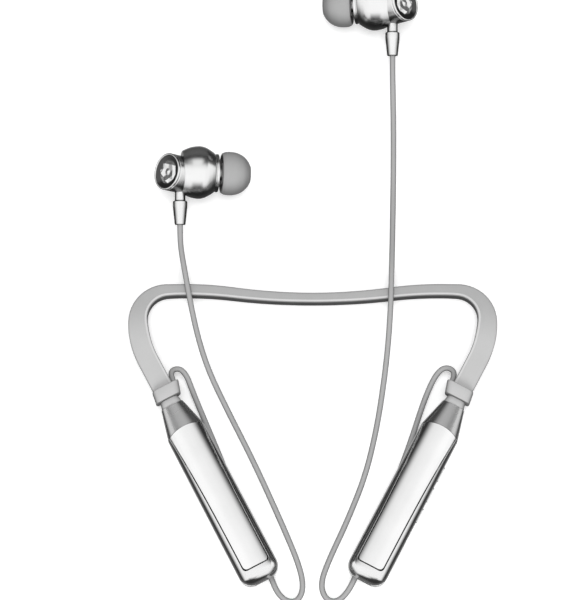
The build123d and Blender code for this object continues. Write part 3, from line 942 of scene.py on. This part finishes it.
def make_barrel(side):
    """Front shell: the barrel, a groove and ring at its front, and the nozzle."""
    back, radius = barrel_profile[0]
    front, _ = barrel_profile[-1]
    barrel = spline_points(barrel_profile)
    closing = round_corners([(back, barrel_back_radius), (back, radius), barrel[1]],
                            barrel_edge)
    ring = round_corners(
        [(ring_start, groove_radius), (ring_start, ring_radius), (ring_end, ring_radius),
         (ring_end, 3.2), (ring_end, stem_radius)], ring_edge)
    stem = [(stem_end, stem_radius), (stem_end, stem_bore), (ring_end, stem_bore)]
    profile = closing[:-1] + barrel[1:] + [(front, groove_radius)] + ring + stem
    add_bud_piece(side, "barrel", *lathe(profile, barrel_middle, bud_axis), "bud_metal",
                  "front_shell")


def make_soft_tip(side):
    """The silicone ear tip: a dome, open at its front, with a core round the nozzle."""
    core = [(tip_start, tip_bore), (tip_start, tip_core)]
    profile = spline_points(tip_dome) + tip_lip + core + tip_lining
    add_bud_piece(side, "soft_tip", *lathe(profile, barrel_middle, bud_axis, loop=True),
                  "tip_silicone", "ear_tip", tip_body[side])


def make_cap(side):
    """Rear shell: the short angled cylinder at the barrel's back."""
    seam = -bezel_depth - cap_seam
    profile = [(-5.2, cap_neck)] + round_corners(
        [(-5.0, cap_neck), (seam, cap_neck), (seam, cap_radius), (-cap_length, cap_radius),
         (-cap_length, 4.0)], cap_edge)
    add_bud_piece(side, "cap", *lathe(profile, cap_origin, cap_axis), "bud_metal",
                  "rear_shell")


def make_bezel(side):
    """The bright ring round the cap's face."""
    inside = cap_radius - bezel_width
    profile = round_corners([(-bezel_depth, inside), (0.0, inside), (0.0, cap_radius),
                             (-bezel_depth, cap_radius)], bezel_edge, loop=True)
    add_bud_piece(side, "bezel", *lathe(profile, cap_origin, cap_axis, loop=True),
                  "polished_metal", "bezel_ring")


def make_ornament(side):
    """The dark disc in the ring, with its cut-stone facets."""
    rim = cap_radius - bezel_width - 0.03
    profile = round_corners([(-bezel_depth, 3.0), (-bezel_depth, rim), (-disc_rim, rim),
                             (-disc_floor, 4.2), (-disc_floor, 3.0)], 0.1)
    add_bud_piece(side, "ornament", *lathe(profile, cap_origin, cap_axis), "dark_gloss",
                  "ornament_disc")
    # the facets' finish paints light onto their polished metal
    facets = add_bud_piece(side, "ornament_facets", *make_facets(), "bright_facets",
                           slot="polished_metal")
    facets.data.shade_flat()


def make_boot(side):
    """The cable's metal boot on its stub, leaning down towards the table."""
    axis_height = cap_face[2] + (cap_face[0] - boot_across) * tan(radians(cap_angle))
    drop = radians(boot_drop)
    boot_axis = Vector((0, -cos(drop), -sin(drop)))
    root = Vector((boot_across, cap_face[1], axis_height)) + boot_axis * boot_start
    end = stub_length + boot_length
    profile = round_corners(
        [(0.0, stub_radius), (stub_length, stub_radius), (stub_length + 0.15, boot_radius),
         (stub_length + boot_shoulder, boot_radius), (end, boot_tip_radius), (end, 1.2)],
        boot_edge)
    # the boot's finish is bud_metal with painted shade on its upright faces
    add_bud_piece(side, "boot", *lathe(profile, root, boot_axis, 48), "boot_metal",
                  "cable_boot", slot="bud_metal")


def make_earbud(side):
    """Barrel and nozzle, ear tip, cap, bezel, ornament, and the cable's boot."""
    for make in (make_barrel, make_soft_tip, make_cap, make_bezel, make_ornament, make_boot):
        make(side)


# ---- stage -----------------------------------------------------------------------------
def make_floor():
    """A plain pale table top."""
    half = 3000.0
    mesh = bpy.data.meshes.new("floor")
    mesh.from_pydata([Vector((x, y, 0)) * METRES for x, y in
                      ((-half, -half), (half, -half), (half, half), (-half, half))],
                     [], [(0, 1, 2, 3)])
    floor = add_object("floor", mesh)
    material = bpy.data.materials.new("pale_table")
    nodes = clear_nodes(material)
    place = nodes.add("ShaderNodeTexCoord").outputs["Object"]
    tone = nodes.mix(nodes.noise(place, 400.0), grey(0.86), grey(0.9))
    surface = nodes.add("ShaderNodeBsdfPrincipled", {
        "Base Color": tone, "Roughness": 0.9, "Specular IOR Level": 0.0,
        "Emission Color": tone, "Emission Strength": floor_glow})
    nodes.add("ShaderNodeOutputMaterial", {"Surface": surface.outputs[0]})
    mesh.materials.append(material)
    floor.visible_glossy = False
    floor.visible_diffuse = False


def sky_glow(nodes, tilt, side, ahead):
    """How bright the mirrored sky is in a direction: its soft boxes and the table below."""
    top = nodes.math("MULTIPLY", nodes.ramp(side, *top_box_side, 1.0, 0.0),
                     nodes.span(ahead, top_box_near, top_box_far))
    inward = nodes.math("MINIMUM", nodes.math("SUBTRACT", ahead, inward_ahead),
                        nodes.math("MULTIPLY", side, inward_slope))
    for start, end, level in inward_fades:
        top = nodes.math("MULTIPLY", top, nodes.ramp(inward, start, end, 1.0, level))
    turn = radians(side_box_turn)
    reach = nodes.math("ADD", nodes.math("MULTIPLY", side, cos(turn)),
                       nodes.math("MULTIPLY", ahead, -sin(turn)))
    off = nodes.math("ADD", nodes.math("MULTIPLY", side, sin(turn)),
                     nodes.math("MULTIPLY", ahead, cos(turn)))
    flank = nodes.math("MULTIPLY", nodes.span(off, side_box_near, side_box_far),
                       nodes.span(reach, side_box_inner, side_box_outer), side_box_level)
    far = nodes.math("MULTIPLY", nodes.ramp(side, *far_box_side, far_box_level, 0.0),
                     nodes.ramp(ahead, *far_box_ahead))
    below = nodes.math("MULTIPLY", nodes.ramp(tilt, *table_tilt),
                       nodes.ramp(ahead, *table_ahead, *table_levels))
    return nodes.math("ADD", nodes.math("MAXIMUM", top, flank, far, below),
                      reflection_floor)


def make_world():
    """Even daylight on a white backdrop, and soft boxes that only reflections see."""
    world = bpy.data.worlds.new("studio")
    bpy.context.scene.world = world
    nodes = clear_nodes(world)
    direction = nodes.add("ShaderNodeTexCoord").outputs["Generated"]
    x, y, z = nodes.add("ShaderNodeSeparateXYZ", {0: direction}).outputs
    level = nodes.math("SQRT", nodes.math("ADD", nodes.math("MULTIPLY", x, x),
                                          nodes.math("MULTIPLY", y, y)))
    tilt = nodes.math("MULTIPLY", nodes.math("ARCTAN2", level, z), 180 / pi)
    scale = nodes.math("DIVIDE", tilt, nodes.math("MAXIMUM", level, 1e-5))
    side = nodes.math("ABSOLUTE", nodes.math("MULTIPLY", x, scale))
    ahead = nodes.math("MULTIPLY", y, scale)
    path = nodes.add("ShaderNodeLightPath").outputs
    glossy = path["Is Glossy Ray"]
    ambient = nodes.math("MAXIMUM", nodes.ramp(tilt, *horizon_tilt, ambient_level, 0.0),
                         path["Is Camera Ray"])
    mirrored_sky = nodes.math("MULTIPLY", glossy, sky_glow(nodes, tilt, side, ahead))
    daylight = nodes.math("MULTIPLY", nodes.math("SUBTRACT", 1.0, glossy), ambient)
    background = nodes.add("ShaderNodeBackground", {
        "Color": grey(1.0), "Strength": nodes.math("ADD", mirrored_sky, daylight)})
    nodes.add("ShaderNodeOutputWorld", {"Surface": background.outputs[0]})


def add_area_light(name, place, size, power):
    """A soft lamp that faces the middle of the object and that reflections don't show."""
    data = bpy.data.lights.new(name, "AREA")
    data.shape = "DISK"
    data.size = size
    data.energy = power
    lamp = add_object(name, data)
    lamp.location = place
    lamp.rotation_mode = "QUATERNION"
    lamp.rotation_quaternion = (-Vector(place)).to_track_quat("-Z", "Y")
    lamp.visible_glossy = False


def make_lights():
    """World and lamps."""
    make_world()
    for name, (place, size, power) in lamps.items():
        add_area_light(name, place, size, power)


# ---- build -----------------------------------------------------------------------------
def finish_nodes():
    """Give every CAD node the finish of its slot."""
    for part in frame["record"]["subparts"]:
        node, slot = part["node"], part["material_slot"]
        mesh = frame["nodes"][node].data
        mesh.materials.clear()
        mesh.materials.append(materials[slot])
        mesh.shade_smooth()
        mesh.set_sharp_from_angle(angle=radians(30))


materials = {name: make_material(name, **finish) for name, finish in finishes.items()}
materials["steel_mesh"] = make_mesh_material("steel_mesh")
make_camera()
for cable_side in arm_body:
    make_cable(cable_side)
make_band()
make_housings()
for bud_side in bud_places:
    make_earbud(bud_side)
finish_nodes()
make_floor()
make_lights()
bpy.context.scene.view_settings.view_transform = "Standard"
